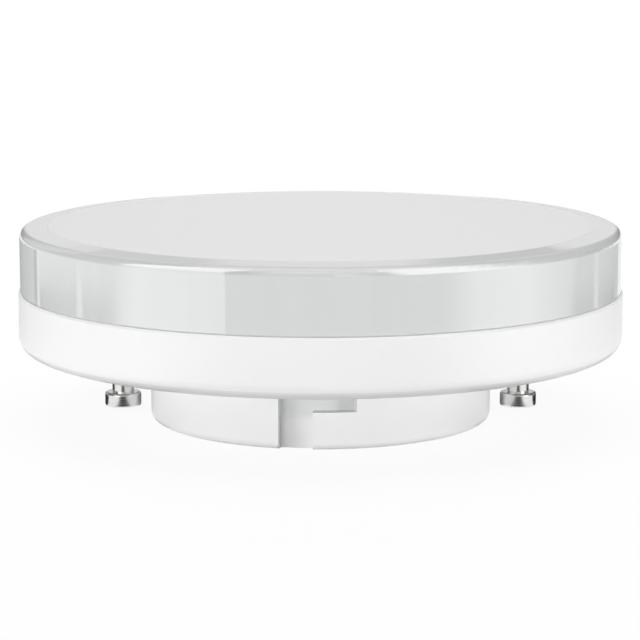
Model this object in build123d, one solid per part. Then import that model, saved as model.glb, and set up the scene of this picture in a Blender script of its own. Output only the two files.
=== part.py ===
from build123d import *
import os
from math import degrees

# LED disc lamp with a two-pin twist-lock cap.
# Millimetres. The origin is the middle of the hub's flat bottom, and +Z points to the light-giving face.
# The front of the lamp, with one keyway in view, looks along -Y, and the contact pins stand on the X axis.

# Housing: a round pan with a hollow hub below it, moulded as one piece
HOUSING_RADIUS = 40.0
PAN_WALL_HEIGHT = 7.62
PAN_CORNER_RADIUS = 1.8
HUB_HEIGHT = 9.76
HUB_CORNER_RADIUS = 0.9
HOUSING_WALL = 1.8
ROOT_RADIUS = 0.5
RIM_CHAMFER = 0.25

# Keyways: L-shaped grooves in the hub's side, one at the front and one at the back
KEYWAY_COUNT = 2
KEYWAY_DEPTH = 1.5
KEYWAY_START_ANGLE = -13.6
KEYWAY_ENTRY_ANGLE = 11.1
KEYWAY_LEG_ANGLE = 14.1
KEYWAY_SILL_HEIGHT = 4.86

# Contact pins of the cap
PIN_PITCH = 53.0
PIN_HEAD_RADIUS = 2.415
PIN_HEAD_THICKNESS = 1.9
PIN_HEAD_ROUNDING = 0.3
PIN_STEM_RADIUS = 1.435
PIN_STEM_LENGTH = 6.66
PIN_SHANK_RADIUS = 1.1
PIN_COLLAR_RADIUS = 2.1
PIN_COLLAR_THICKNESS = 0.6
PIN_TAIL_RADIUS = 1.0
PIN_TAIL_LENGTH = 1.2
PIN_HOLE_CLEARANCE = 0.1
PIN_HUB_GAP = 1.405

# Cover: a shallow diffusing cap that snaps into the pan
COVER_STEP = 0.26
COVER_HEIGHT = 8.52
COVER_RIM_WIDTH = 3.74
COVER_RIM_DROP = 0.34
COVER_WALL = 1.6
COVER_EDGE_RADIUS = 1.0
COVER_FOOT_CHAMFER = 0.2
SKIRT_DEPTH = 1.9
SKIRT_WALL = 1.4
SKIRT_CLEARANCE = 0.15
BEAD_HEIGHT = 0.35
BEAD_DROP = 0.9
BEAD_HALF_WIDTH = 0.5

# Light engine: heat spreader, LED board, LED packages and screws
SPREADER_STANDOFF = 2.44
SPREADER_THICKNESS = 1.2
SPREADER_EDGE_GAP = 0.5
LED_BOARD_EDGE_GAP = 3.65
LED_BOARD_THICKNESS = 1.0
WIRE_HOLE_RADIUS = 4.0
LED_LENGTH = 3.5
LED_WIDTH = 2.8
LED_HEIGHT = 0.7
LED_WINDOW_RADIUS = 1.15
LED_WINDOW_DEPTH = 0.15
LED_OUTER_INSET = 9.0
LED_OUTER_COUNT = 18
LED_RING_SPACING = 11.5
LED_INNER_COUNT = 9

SCREW_COUNT = 3
SCREW_INSET = 3.5
SCREW_RADIUS = 1.2
SCREW_LENGTH = 5.2
SCREW_HEAD_RADIUS = 2.3
SCREW_HEAD_HEIGHT = 1.6
SCREW_HEAD_ROUNDING = 0.6
SCREW_CLEARANCE = 0.2
SCREW_RECESS_WIDTH = 0.7
SCREW_RECESS_LENGTH = 2.4
SCREW_RECESS_DEPTH = 0.8
BOSS_WALL = 1.4
BOSS_HOLE_CLEARANCE = 0.1
BOSS_HOLE_SPARE = 0.4

RIB_COUNT = 12
RIB_THICKNESS = 1.4
RIB_REACH = 2.6

# Driver board and the ledges that hold it in the hub
DRIVER_STANDOFF = 6.8
DRIVER_THICKNESS = 1.6
DRIVER_EDGE_GAP = 0.45
LEDGE_COUNT = 4
LEDGE_REACH = 1.6
LEDGE_WIDTH = 2.4
HOOK_REACH = 0.85
HOOK_HEIGHT = 1.0
HOOK_GAP = 0.05

# Driver parts
LEAD_RADIUS = 0.3
LEAD_TAIL = 0.9
LEAD_BEND = 0.7
LEAD_OUT = 1.6
LEAD_HOLE_CLEARANCE = 0.15
BODY_GAP = 0.1

BULK_RADIUS = 3.15
BULK_LENGTH = 11.0
BULK_LEAD_PITCH = 2.5
BULK_AT = (-3.5, -9.0)

OUTPUT_RADIUS = 2.5
OUTPUT_LENGTH = 9.0
OUTPUT_LEAD_PITCH = 2.0
OUTPUT_AT = (-3.0, 10.0)

CAN_ROUNDING = 0.4
CRIMP_FROM_BASE = 1.8
CRIMP_DEPTH = 0.35

FILM_LENGTH = 7.2
FILM_WIDTH = 4.5
FILM_HEIGHT = 5.8
FILM_ROUNDING = 0.5
FILM_LEAD_PITCH = 5.0
FILM_AT = (11.0, 3.0)

DRUM_RADIUS = 3.9
DRUM_HEIGHT = 6.0
DRUM_FLANGE = 1.0
DRUM_CORE_RADIUS = 2.0
DRUM_LEAD_PITCH = 5.0
WINDING_RADIUS = 3.4
WINDING_GAP = 0.1
DRUM_AT = (-10.0, 3.0)

FUSE_RADIUS = 1.3
FUSE_WAIST_RADIUS = 1.05
FUSE_LENGTH = 7.0
FUSE_CAP_LENGTH = 1.5
FUSE_AT = (-9.5, -3.0)

CHIP_LENGTH = 4.9
CHIP_WIDTH = 3.9
CHIP_HEIGHT = 1.45
CHIP_LEADS_A_SIDE = 4
CHIP_LEAD_PITCH = 1.27
CHIP_AT = (0.0, 8.0)

BRIDGE_LENGTH = 4.7
BRIDGE_WIDTH = 4.0
BRIDGE_HEIGHT = 1.6
BRIDGE_LEADS_A_SIDE = 2
BRIDGE_LEAD_PITCH = 2.54
BRIDGE_AT = (-8.0, -2.0)

DIODE_LENGTH = 4.3
DIODE_WIDTH = 2.6
DIODE_HEIGHT = 2.1
DIODE_LEADS_A_SIDE = 1
DIODE_LEAD_PITCH = 1.5
DIODE_AT = (9.0, -3.0)

FOOT_LENGTH = 1.0
FOOT_WIDTH = 0.42
FOOT_HEIGHT = 0.6
PACKAGE_LIFT = 0.1
PACKAGE_CHAMFER = 0.25

# Wires
WIRE_RADIUS = 0.55
WIRE_BEND = 1.8
WIRE_TOUCH_GAP = 0.05
BEND_SHARE = 0.9
INPUT_WIRE_INSET = 3.4
OUTPUT_WIRE_OFFSET = 2.0
OUTPUT_WIRE_REACH = 4.5
OUTPUT_WIRE_LOOP_HEIGHT = 2.4

# Heights and radii that follow from the sizes above
PAN_FLOOR_Z = HUB_HEIGHT + HOUSING_WALL
RIM_Z = HUB_HEIGHT + PAN_WALL_HEIGHT
TOP_Z = RIM_Z + COVER_HEIGHT
PAN_INNER_RADIUS = HOUSING_RADIUS - HOUSING_WALL
PIN_X = PIN_PITCH / 2
PIN_TAIL_Z = PAN_FLOOR_Z + PIN_COLLAR_THICKNESS
HUB_RADIUS = PIN_X - PIN_HEAD_RADIUS - PIN_HUB_GAP
HUB_INNER_RADIUS = HUB_RADIUS - HOUSING_WALL
HUB_FLOOR_Z = HOUSING_WALL
KEYWAY_FLOOR_RADIUS = HUB_RADIUS - KEYWAY_DEPTH
KEYWAY_PAD_RADIUS = KEYWAY_FLOOR_RADIUS - HOUSING_WALL
KEYWAY_PAD_MARGIN = degrees(HOUSING_WALL / KEYWAY_FLOOR_RADIUS)
KEYWAY_ANGLE = KEYWAY_ENTRY_ANGLE + KEYWAY_LEG_ANGLE
FRONT_ANGLE = -90.0

COVER_RADIUS = HOUSING_RADIUS - COVER_STEP
COVER_FACE_RADIUS = COVER_RADIUS - COVER_RIM_WIDTH
COVER_INNER_RADIUS = COVER_RADIUS - COVER_WALL
SKIRT_OUTER_RADIUS = PAN_INNER_RADIUS - SKIRT_CLEARANCE
SKIRT_INNER_RADIUS = SKIRT_OUTER_RADIUS - SKIRT_WALL
SKIRT_FOOT_Z = RIM_Z - SKIRT_DEPTH

SPREADER_Z = PAN_FLOOR_Z + SPREADER_STANDOFF
LED_BOARD_Z = SPREADER_Z + SPREADER_THICKNESS
LED_FACE_Z = LED_BOARD_Z + LED_BOARD_THICKNESS
LED_BOARD_RADIUS = SKIRT_INNER_RADIUS - LED_BOARD_EDGE_GAP
SCREW_CIRCLE_RADIUS = LED_BOARD_RADIUS - SCREW_INSET
LED_OUTER_RADIUS = LED_BOARD_RADIUS - LED_OUTER_INSET
LED_INNER_RADIUS = LED_OUTER_RADIUS - LED_RING_SPACING

DRIVER_Z = HUB_FLOOR_Z + DRIVER_STANDOFF
DRIVER_TOP_Z = DRIVER_Z + DRIVER_THICKNESS
DRIVER_RADIUS = HUB_INNER_RADIUS - DRIVER_EDGE_GAP


def flat_shape(points, roundings=()):
    """A closed flat outline, with the corners nearest the given points rounded."""
    face = make_face(Polyline(*points, close=True))
    for corner, radius in roundings:
        vertex = face.vertices().sort_by_distance((*corner, 0))[0]
        face = fillet(vertex, radius)
    return face


def turned(points, roundings=()):
    """A solid of revolution about Z, from an outline of (radius, height) points."""
    return revolve(Plane.XZ * flat_shape(points, roundings), Axis.Z)


def ring_sector(inner, outer, bottom, top, start, sweep_angle):
    """A piece of a thick ring, from one angle round to another."""
    outline = flat_shape([(inner, bottom), (outer, bottom), (outer, top), (inner, top)])
    return Rot(Z=start) * revolve(Plane.XZ * outline, Axis.Z, sweep_angle)


def round_post(radius, bottom, top):
    """An upright cylinder between two heights."""
    return Pos(0, 0, bottom) * Cylinder(radius, top - bottom, align=(Align.CENTER, Align.CENTER, Align.MIN))


def block(length, width, bottom, top):
    """An upright block between two heights, centred on Z."""
    return Pos(0, 0, bottom) * Box(length, width, top - bottom, align=(Align.CENTER, Align.CENTER, Align.MIN))


def radial_web(outline, thickness):
    """A web that lies in the plane of the axis, from an outline of (radius, height) points."""
    return extrude(Plane.XZ * flat_shape(outline), thickness / 2, both=True)


def round_wire(points, radius, bend):
    """A round wire along straight runs that are joined by arcs, each arc within its last run."""
    last_run = (Vector(*points[-1]) - Vector(*points[-2])).length
    path = FilletPolyline(*points, radius=min(bend, BEND_SHARE * last_run))
    return sweep(Plane(origin=path @ 0, z_dir=path % 0) * Circle(radius), path)


def around(count, first=0.0):
    """Evenly spaced angles round the axis."""
    return [first + 360.0 * index / count for index in range(count)]


def keyway_angles():
    """The angle at which each keyway's entry begins."""
    return around(KEYWAY_COUNT, FRONT_ANGLE + KEYWAY_START_ANGLE)


def screw_places():
    """Where the screws stand, seen from above."""
    return [Rot(Z=angle) * Pos(SCREW_CIRCLE_RADIUS, 0, 0) for angle in around(SCREW_COUNT, -FRONT_ANGLE)]


# Housing
def housing_shell():
    """Pan and hub turned as one wall, with the groove for the cover's bead."""
    bead_z = RIM_Z - BEAD_DROP
    groove_radius = PAN_INNER_RADIUS + BEAD_HEIGHT
    groove_half = BEAD_HALF_WIDTH + SKIRT_CLEARANCE
    return turned(
        [
            (0, 0),
            (HUB_RADIUS, 0),
            (HUB_RADIUS, HUB_HEIGHT),
            (HOUSING_RADIUS, HUB_HEIGHT),
            (HOUSING_RADIUS, RIM_Z - RIM_CHAMFER),
            (HOUSING_RADIUS - RIM_CHAMFER, RIM_Z),
            (PAN_INNER_RADIUS, RIM_Z),
            (PAN_INNER_RADIUS, bead_z + groove_half),
            (groove_radius, bead_z),
            (PAN_INNER_RADIUS, bead_z - groove_half),
            (PAN_INNER_RADIUS, PAN_FLOOR_Z),
            (HUB_INNER_RADIUS, PAN_FLOOR_Z),
            (HUB_INNER_RADIUS, HUB_FLOOR_Z),
            (0, HUB_FLOOR_Z),
        ],
        [
            ((HUB_RADIUS, 0), HUB_CORNER_RADIUS),
            ((HUB_RADIUS, HUB_HEIGHT), ROOT_RADIUS),
            ((HOUSING_RADIUS, HUB_HEIGHT), PAN_CORNER_RADIUS),
            ((PAN_INNER_RADIUS, PAN_FLOOR_Z), ROOT_RADIUS),
        ],
    )


def keyway_pads():
    """Thicker wall behind each keyway, inside the hub."""
    return [
        ring_sector(
            KEYWAY_PAD_RADIUS,
            HUB_INNER_RADIUS + HOUSING_WALL / 2,
            HUB_FLOOR_Z / 2,
            PAN_FLOOR_Z,
            angle - KEYWAY_PAD_MARGIN,
            KEYWAY_ANGLE + 2 * KEYWAY_PAD_MARGIN,
        )
        for angle in keyway_angles()
    ]


def keyway_grooves():
    """The upright entry and the level leg of each keyway, both closed by the pan's floor."""
    outside = HUB_RADIUS + ROOT_RADIUS
    grooves = []
    for angle in keyway_angles():
        grooves.append(
            ring_sector(KEYWAY_FLOOR_RADIUS, outside, -HUB_FLOOR_Z, HUB_HEIGHT, angle, KEYWAY_ENTRY_ANGLE)
        )
        grooves.append(
            ring_sector(KEYWAY_FLOOR_RADIUS, outside, KEYWAY_SILL_HEIGHT, HUB_HEIGHT, angle, KEYWAY_ANGLE)
        )
    return grooves


def spreader_ribs():
    """Webs in the pan's corner that carry the heat spreader's edge."""
    inner = PAN_INNER_RADIUS - RIB_REACH
    outer = PAN_INNER_RADIUS + HOUSING_WALL / 2
    bottom = PAN_FLOOR_Z - HOUSING_WALL / 2
    first = 180.0 / RIB_COUNT
    # The outer lower corner is cut off, so that no web reaches past the pan's rounded edge.
    cut = PAN_CORNER_RADIUS
    outline = [
        (inner, bottom),
        (outer - cut, bottom),
        (outer, bottom + cut),
        (outer, SPREADER_Z),
        (inner, SPREADER_Z),
    ]
    return [Rot(Z=angle) * radial_web(outline, RIB_THICKNESS) for angle in around(RIB_COUNT, first)]


def screw_bosses():
    """Posts on the pan's floor for the screws, and the blind holes in them."""
    hole_radius = SCREW_RADIUS + BOSS_HOLE_CLEARANCE
    hole_bottom = LED_FACE_Z - SCREW_LENGTH - BOSS_HOLE_SPARE
    post = round_post(hole_radius + BOSS_WALL, PAN_FLOOR_Z - HOUSING_WALL / 2, SPREADER_Z)
    hole = round_post(hole_radius, hole_bottom, SPREADER_Z + HOUSING_WALL)
    return [place * post for place in screw_places()], [place * hole for place in screw_places()]


def driver_ledges():
    """Ledges on the hub's inner wall for the driver board, each with a hook that snaps over its edge."""
    wall = HUB_INNER_RADIUS + HOUSING_WALL / 2
    inner = HUB_INNER_RADIUS - LEDGE_REACH
    hook = HUB_INNER_RADIUS - HOOK_REACH
    hook_z = DRIVER_TOP_Z + HOOK_GAP
    hook_top = hook_z + HOOK_HEIGHT
    ledge = [(inner, HUB_FLOOR_Z / 2), (wall, HUB_FLOOR_Z / 2), (wall, DRIVER_Z), (inner, DRIVER_Z)]
    snap = [(hook, hook_z), (wall, hook_z), (wall, hook_top), (HUB_INNER_RADIUS, hook_top)]
    webs = []
    for angle in around(LEDGE_COUNT, 180.0 / LEDGE_COUNT):
        webs.append(Rot(Z=angle) * radial_web(ledge, LEDGE_WIDTH))
        webs.append(Rot(Z=angle) * radial_web(snap, LEDGE_WIDTH))
    return webs


def pin_holes():
    """Round holes through the pan's floor for the contact pins."""
    hole = round_post(PIN_SHANK_RADIUS + PIN_HOLE_CLEARANCE, HUB_HEIGHT / 2, PAN_FLOOR_Z + HOUSING_WALL)
    return [Pos(side * PIN_X, 0, 0) * hole for side in (-1, 1)]


def housing():
    """The moulded housing with its keyways, ribs, bosses, ledges and pin holes."""
    posts, screw_holes = screw_bosses()
    body = housing_shell() + keyway_pads() + spreader_ribs() + posts + driver_ledges()
    return body - keyway_grooves() - screw_holes - pin_holes()


# Cover
def lens_cover():
    """The diffusing cap: flat face, sloped rim, rounded edge, upright wall, and a skirt with a snap bead."""
    bead_z = RIM_Z - BEAD_DROP
    slope_z = RIM_Z + COVER_INNER_RADIUS - SKIRT_INNER_RADIUS
    edge_z = TOP_Z - COVER_RIM_DROP
    face_z = TOP_Z - COVER_WALL
    bead_radius = SKIRT_OUTER_RADIUS + BEAD_HEIGHT
    return turned(
        [
            (0, TOP_Z),
            (COVER_FACE_RADIUS, TOP_Z),
            (COVER_RADIUS, edge_z),
            (COVER_RADIUS, RIM_Z + COVER_FOOT_CHAMFER),
            (COVER_RADIUS - COVER_FOOT_CHAMFER, RIM_Z),
            (SKIRT_OUTER_RADIUS, RIM_Z),
            (SKIRT_OUTER_RADIUS, bead_z + BEAD_HALF_WIDTH),
            (bead_radius, bead_z),
            (SKIRT_OUTER_RADIUS, bead_z - BEAD_HALF_WIDTH),
            (SKIRT_OUTER_RADIUS, SKIRT_FOOT_Z),
            (SKIRT_INNER_RADIUS, SKIRT_FOOT_Z),
            (SKIRT_INNER_RADIUS, RIM_Z),
            (COVER_INNER_RADIUS, slope_z),
            (COVER_INNER_RADIUS, face_z),
            (0, face_z),
        ],
        [
            ((COVER_RADIUS, edge_z), COVER_EDGE_RADIUS),
            ((COVER_INNER_RADIUS, face_z), ROOT_RADIUS),
        ],
    )


# Contact pins
def contact_pin():
    """A turned pin: button head, stem with a shoulder under the pan, shank, swaged collar and solder tail."""
    head_top = HUB_HEIGHT - PIN_STEM_LENGTH
    head_bottom = head_top - PIN_HEAD_THICKNESS
    return turned(
        [
            (0, head_bottom),
            (PIN_HEAD_RADIUS, head_bottom),
            (PIN_HEAD_RADIUS, head_top),
            (PIN_STEM_RADIUS, head_top),
            (PIN_STEM_RADIUS, HUB_HEIGHT),
            (PIN_SHANK_RADIUS, HUB_HEIGHT),
            (PIN_SHANK_RADIUS, PAN_FLOOR_Z),
            (PIN_COLLAR_RADIUS, PAN_FLOOR_Z),
            (PIN_COLLAR_RADIUS, PIN_TAIL_Z),
            (PIN_TAIL_RADIUS, PIN_TAIL_Z),
            (PIN_TAIL_RADIUS, PIN_TAIL_Z + PIN_TAIL_LENGTH),
            (0, PIN_TAIL_Z + PIN_TAIL_LENGTH),
        ],
        [
            ((PIN_HEAD_RADIUS, head_bottom), PIN_HEAD_ROUNDING),
            ((PIN_HEAD_RADIUS, head_top), PIN_HEAD_ROUNDING),
            ((PIN_COLLAR_RADIUS, PIN_TAIL_Z), PIN_HEAD_ROUNDING),
        ],
    )


# Light engine
def plate(radius, bottom, thickness):
    """A round plate with the wire hole and the screws' clearance holes."""
    top = bottom + thickness
    screw_hole = round_post(SCREW_RADIUS + SCREW_CLEARANCE, bottom, top)
    holes = [place * screw_hole for place in screw_places()]
    return round_post(radius, bottom, top) - round_post(WIRE_HOLE_RADIUS, bottom, top) - holes


def led_package():
    """One flat LED package with the sunk window over its die."""
    body = block(LED_LENGTH, LED_WIDTH, LED_FACE_Z, LED_FACE_Z + LED_HEIGHT)
    top = LED_FACE_Z + LED_HEIGHT
    return body - round_post(LED_WINDOW_RADIUS, top - LED_WINDOW_DEPTH, top)


def led_packages():
    """Two rings of LED packages, the outer one set so that the screws stand between its packages."""
    package = led_package()
    outer_first = -FRONT_ANGLE + 180.0 / LED_OUTER_COUNT
    inner_first = -FRONT_ANGLE + 180.0 / LED_INNER_COUNT
    outer = [Rot(Z=angle) * Pos(LED_OUTER_RADIUS, 0, 0) for angle in around(LED_OUTER_COUNT, outer_first)]
    inner = [Rot(Z=angle) * Pos(LED_INNER_RADIUS, 0, 0) for angle in around(LED_INNER_COUNT, inner_first)]
    return Compound([(place * package).solid() for place in outer + inner])


def board_screw():
    """A pan-head screw with a cross recess."""
    top = LED_FACE_Z + SCREW_HEAD_HEIGHT
    body = turned(
        [
            (0, LED_FACE_Z - SCREW_LENGTH),
            (SCREW_RADIUS, LED_FACE_Z - SCREW_LENGTH),
            (SCREW_RADIUS, LED_FACE_Z),
            (SCREW_HEAD_RADIUS, LED_FACE_Z),
            (SCREW_HEAD_RADIUS, top),
            (0, top),
        ],
        [((SCREW_HEAD_RADIUS, top), SCREW_HEAD_ROUNDING)],
    )
    slot = block(SCREW_RECESS_LENGTH, SCREW_RECESS_WIDTH, top - SCREW_RECESS_DEPTH, top)
    return body - slot - Rot(Z=90) * slot


def board_screws():
    """The screws that hold the LED board and the heat spreader on the housing's bosses."""
    screw = board_screw()
    return Compound([(place * screw).solid() for place in screw_places()])


# Driver
def can_lead_places(at, pitch):
    """Where the two leads of a lying can pass through the board."""
    return [(at[0] - LEAD_OUT, at[1] + side * pitch / 2) for side in (-1, 1)]


def paired_lead_places(at, pitch):
    """Where two leads in a row along X pass through the board."""
    return [(at[0] + side * pitch / 2, at[1]) for side in (-1, 1)]


def fuse_lead_places():
    """Where the fusible resistor's bent leads pass through the board."""
    return paired_lead_places(FUSE_AT, FUSE_LENGTH + 2 * LEAD_OUT)


def all_lead_places():
    """Every lead hole of the driver board."""
    return (
        can_lead_places(BULK_AT, BULK_LEAD_PITCH)
        + can_lead_places(OUTPUT_AT, OUTPUT_LEAD_PITCH)
        + paired_lead_places(FILM_AT, FILM_LEAD_PITCH)
        + paired_lead_places(DRUM_AT, DRUM_LEAD_PITCH)
        + fuse_lead_places()
    )


def driver_board():
    """A round board, notched round the keyway pads and drilled for the leads."""
    notch_radius = KEYWAY_PAD_RADIUS - DRIVER_EDGE_GAP
    notch_margin = KEYWAY_PAD_MARGIN + degrees(DRIVER_EDGE_GAP / notch_radius)
    notches = [
        ring_sector(
            notch_radius,
            HUB_RADIUS,
            DRIVER_Z,
            DRIVER_TOP_Z,
            angle - notch_margin,
            KEYWAY_ANGLE + 2 * notch_margin,
        )
        for angle in keyway_angles()
    ]
    hole = round_post(LEAD_RADIUS + LEAD_HOLE_CLEARANCE, DRIVER_Z, DRIVER_TOP_Z)
    holes = [Pos(x, y, 0) * hole for x, y in all_lead_places()]
    return round_post(DRIVER_RADIUS, DRIVER_Z, DRIVER_TOP_Z) - notches - holes


def bent_lead(start, place):
    """A lead that leaves a lying body level and bends up through the board."""
    x, y = place
    return round_wire([start, (x, y, start[2]), (x, y, DRIVER_TOP_Z + LEAD_TAIL)], LEAD_RADIUS, LEAD_BEND)


def straight_leads(places):
    """Leads that pass straight up through the board."""
    lead = round_post(LEAD_RADIUS, DRIVER_Z - DRUM_FLANGE / 2, DRIVER_TOP_Z + LEAD_TAIL)
    return [Pos(x, y, 0) * lead for x, y in places]


def can_capacitor(radius, length, pitch, at):
    """An electrolytic can that lies under the board along X, with a crimp near its base."""
    axis_z = DRIVER_Z - BODY_GAP - radius
    can = turned(
        [
            (0, 0),
            (radius, 0),
            (radius, CRIMP_FROM_BASE - CRIMP_DEPTH),
            (radius - CRIMP_DEPTH, CRIMP_FROM_BASE),
            (radius, CRIMP_FROM_BASE + CRIMP_DEPTH),
            (radius, length),
            (0, length),
        ],
        [((radius, 0), CAN_ROUNDING), ((radius, length), CAN_ROUNDING)],
    )
    body = Pos(at[0], at[1], axis_z) * Rot(Y=90) * can
    for place in can_lead_places(at, pitch):
        body += bent_lead((at[0] + CRIMP_DEPTH, place[1], axis_z), place)
    return body


def film_capacitor():
    """A boxed film capacitor under the board."""
    body = Pos(*FILM_AT, 0) * block(FILM_LENGTH, FILM_WIDTH, DRIVER_Z - FILM_HEIGHT, DRIVER_Z)
    body = fillet(body.edges().filter_by(Axis.Z), FILM_ROUNDING)
    return body + straight_leads(paired_lead_places(FILM_AT, FILM_LEAD_PITCH))


def inductor_core():
    """A ferrite drum that stands under the board on its two leads."""
    bottom = DRIVER_Z - DRUM_HEIGHT
    drum = turned(
        [
            (0, bottom),
            (DRUM_RADIUS, bottom),
            (DRUM_RADIUS, bottom + DRUM_FLANGE),
            (DRUM_CORE_RADIUS, bottom + DRUM_FLANGE),
            (DRUM_CORE_RADIUS, DRIVER_Z - DRUM_FLANGE),
            (DRUM_RADIUS, DRIVER_Z - DRUM_FLANGE),
            (DRUM_RADIUS, DRIVER_Z),
            (0, DRIVER_Z),
        ]
    )
    return Pos(*DRUM_AT, 0) * drum + straight_leads(paired_lead_places(DRUM_AT, DRUM_LEAD_PITCH))


def inductor_winding():
    """The copper winding between the drum's flanges."""
    bottom = DRIVER_Z - DRUM_HEIGHT + DRUM_FLANGE + WINDING_GAP
    top = DRIVER_Z - DRUM_FLANGE - WINDING_GAP
    inside = DRUM_CORE_RADIUS + WINDING_GAP
    return Pos(*DRUM_AT, 0) * (round_post(WINDING_RADIUS, bottom, top) - round_post(inside, bottom, top))


def fusible_resistor():
    """A lying resistor with swollen ends and two bent leads."""
    axis_z = DRIVER_Z - BODY_GAP - FUSE_RADIUS
    neck = FUSE_CAP_LENGTH + FUSE_RADIUS - FUSE_WAIST_RADIUS
    body = turned(
        [
            (0, 0),
            (FUSE_RADIUS, 0),
            (FUSE_RADIUS, FUSE_CAP_LENGTH),
            (FUSE_WAIST_RADIUS, neck),
            (FUSE_WAIST_RADIUS, FUSE_LENGTH - neck),
            (FUSE_RADIUS, FUSE_LENGTH - FUSE_CAP_LENGTH),
            (FUSE_RADIUS, FUSE_LENGTH),
            (0, FUSE_LENGTH),
        ],
        [((FUSE_RADIUS, 0), CAN_ROUNDING), ((FUSE_RADIUS, FUSE_LENGTH), CAN_ROUNDING)],
    )
    resistor = Pos(FUSE_AT[0] - FUSE_LENGTH / 2, FUSE_AT[1], axis_z) * Rot(Y=90) * body
    for side, place in zip((-1, 1), fuse_lead_places()):
        end = FUSE_AT[0] + side * (FUSE_LENGTH / 2 - CAN_ROUNDING)
        resistor += bent_lead((end, FUSE_AT[1], axis_z), place)
    return resistor


def surface_package(length, width, height, leads_a_side, pitch, at):
    """A flat package on the board's upper face, with feet along its two long sides."""
    bottom = DRIVER_TOP_Z + PACKAGE_LIFT
    body = block(length, width, bottom, DRIVER_TOP_Z + height)
    body = chamfer(body.faces().sort_by(Axis.Z)[-1].edges(), PACKAGE_CHAMFER)
    foot = block(FOOT_WIDTH, width + 2 * FOOT_LENGTH, DRIVER_TOP_Z, DRIVER_TOP_Z + FOOT_HEIGHT)
    for index in range(leads_a_side):
        body += Pos((index - (leads_a_side - 1) / 2) * pitch, 0, 0) * foot
    return Pos(*at, 0) * body


# Wires
def input_wire(side):
    """From a pin's solder tail level over the pan's floor, then down to the driver board."""
    z = PIN_TAIL_Z + WIRE_TOUCH_GAP + WIRE_RADIUS
    start = PIN_X - PIN_TAIL_RADIUS - WIRE_TOUCH_GAP
    landing = DRIVER_RADIUS - INPUT_WIRE_INSET
    points = [(side * start, 0, z), (side * landing, 0, z), (side * landing, 0, DRIVER_TOP_Z)]
    return round_wire(points, WIRE_RADIUS, WIRE_BEND)


def output_wire(side):
    """From the driver board up through the wire hole, over and down to the LED board's face."""
    loop_z = LED_FACE_Z + OUTPUT_WIRE_LOOP_HEIGHT
    landing = OUTPUT_WIRE_OFFSET + OUTPUT_WIRE_REACH
    points = [
        (side * OUTPUT_WIRE_OFFSET, 0, DRIVER_TOP_Z),
        (side * OUTPUT_WIRE_OFFSET, 0, loop_z),
        (side * landing, 0, loop_z),
        (side * landing, 0, LED_FACE_Z),
    ]
    return round_wire(points, WIRE_RADIUS, WIRE_BEND)


def nodes():
    """Every piece of the lamp, by its name."""
    pin = contact_pin()
    return {
        "housing": housing(),
        "lens_cover": lens_cover(),
        "contact_pin_left": Pos(-PIN_X, 0, 0) * pin,
        "contact_pin_right": Pos(PIN_X, 0, 0) * pin,
        "heat_spreader": plate(PAN_INNER_RADIUS - SPREADER_EDGE_GAP, SPREADER_Z, SPREADER_THICKNESS),
        "led_board": plate(LED_BOARD_RADIUS, LED_BOARD_Z, LED_BOARD_THICKNESS),
        "led_packages": led_packages(),
        "board_screws": board_screws(),
        "driver_board": driver_board(),
        "bulk_capacitor": can_capacitor(BULK_RADIUS, BULK_LENGTH, BULK_LEAD_PITCH, BULK_AT),
        "output_capacitor": can_capacitor(OUTPUT_RADIUS, OUTPUT_LENGTH, OUTPUT_LEAD_PITCH, OUTPUT_AT),
        "film_capacitor": film_capacitor(),
        "inductor_core": inductor_core(),
        "inductor_winding": inductor_winding(),
        "fusible_resistor": fusible_resistor(),
        "driver_chip": surface_package(
            CHIP_LENGTH, CHIP_WIDTH, CHIP_HEIGHT, CHIP_LEADS_A_SIDE, CHIP_LEAD_PITCH, CHIP_AT
        ),
        "bridge_rectifier": surface_package(
            BRIDGE_LENGTH, BRIDGE_WIDTH, BRIDGE_HEIGHT, BRIDGE_LEADS_A_SIDE, BRIDGE_LEAD_PITCH, BRIDGE_AT
        ),
        "output_diode": surface_package(
            DIODE_LENGTH, DIODE_WIDTH, DIODE_HEIGHT, DIODE_LEADS_A_SIDE, DIODE_LEAD_PITCH, DIODE_AT
        ),
        "input_wire_left": input_wire(-1),
        "input_wire_right": input_wire(1),
        "output_wire_negative": output_wire(-1),
        "output_wire_positive": output_wire(1),
    }


os.makedirs("parts", exist_ok=True)
for name, shape in nodes().items():
    export_step(shape, f"parts/{name}.step")
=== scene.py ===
"""Looks of a flat round LED lamp with a two-pin twist-lock cap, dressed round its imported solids.

Lengths in the classes are millimetres, and Blender's own lengths are metres.
"""

import logging
import math
from dataclasses import dataclass
from enum import Enum
from typing import Any, Iterable, Optional, Union

import bmesh
import bpy
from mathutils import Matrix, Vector


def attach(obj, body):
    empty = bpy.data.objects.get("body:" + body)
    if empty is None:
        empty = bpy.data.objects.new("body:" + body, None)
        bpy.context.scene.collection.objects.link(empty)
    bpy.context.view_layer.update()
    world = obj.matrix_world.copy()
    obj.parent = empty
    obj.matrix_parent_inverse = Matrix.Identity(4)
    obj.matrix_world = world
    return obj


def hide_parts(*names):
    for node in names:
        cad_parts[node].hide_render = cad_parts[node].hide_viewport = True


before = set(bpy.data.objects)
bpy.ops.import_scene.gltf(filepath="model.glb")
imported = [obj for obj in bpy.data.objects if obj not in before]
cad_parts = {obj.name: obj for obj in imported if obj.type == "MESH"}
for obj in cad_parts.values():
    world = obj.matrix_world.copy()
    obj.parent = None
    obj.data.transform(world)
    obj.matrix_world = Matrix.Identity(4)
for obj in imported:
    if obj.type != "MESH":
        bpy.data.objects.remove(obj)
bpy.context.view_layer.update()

LOG = logging.getLogger("disc_lamp")
MM = 0.001
BODY = "root"
FULL_TURN = 2 * math.pi
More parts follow.
